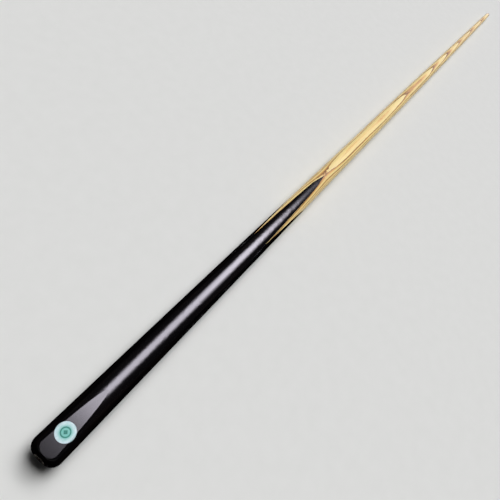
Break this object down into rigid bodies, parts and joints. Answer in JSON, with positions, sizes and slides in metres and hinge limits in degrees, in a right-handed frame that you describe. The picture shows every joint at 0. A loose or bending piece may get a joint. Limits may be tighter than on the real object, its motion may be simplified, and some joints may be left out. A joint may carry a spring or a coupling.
{
  "type": "pool cue",
  "caption": "Long tapered one-piece cue with an ash shaft, hand-spliced ebony butt, badge flat, brass ferrule, leather tip and threaded butt socket.",
  "frame": {"origin": "centre of the butt's end face, on the cue's axis, in the mouth of the extension socket", "axes": "+X along the cue from the butt to the leather tip; +Z out of the flat that carries the badge; +Y to the left of someone who sights along +X"},
  "size_m": [1.45, 0.0302, 0.0297],
  "materials": {
    "ash": "satin lacquer over flat-sawn grain",
    "ebony": "polished and lacquered",
    "badge_white": "polished",
    "badge_teal": "polished",
    "ferrule_brass": "polished",
    "tip_leather": "pressed, chalked",
    "socket_brass": "turned",
    "plug_wood": "sawn",
    "lead": "dull cast metal"
  },
  "bodies": {
    "root": {"ash_shaft": "ash", "upper_splice": "ebony", "lower_splice": "ebony", "left_splice": "ebony", "right_splice": "ebony", "badge_disc": "badge_white", "badge_ring": "badge_teal", "badge_diamond": "badge_teal", "ferrule": "ferrule_brass", "leather_tip": "tip_leather", "extension_socket": "socket_brass", "weight_plug": "plug_wood", "balance_weight": "lead"}
  },
  "joints": []
}
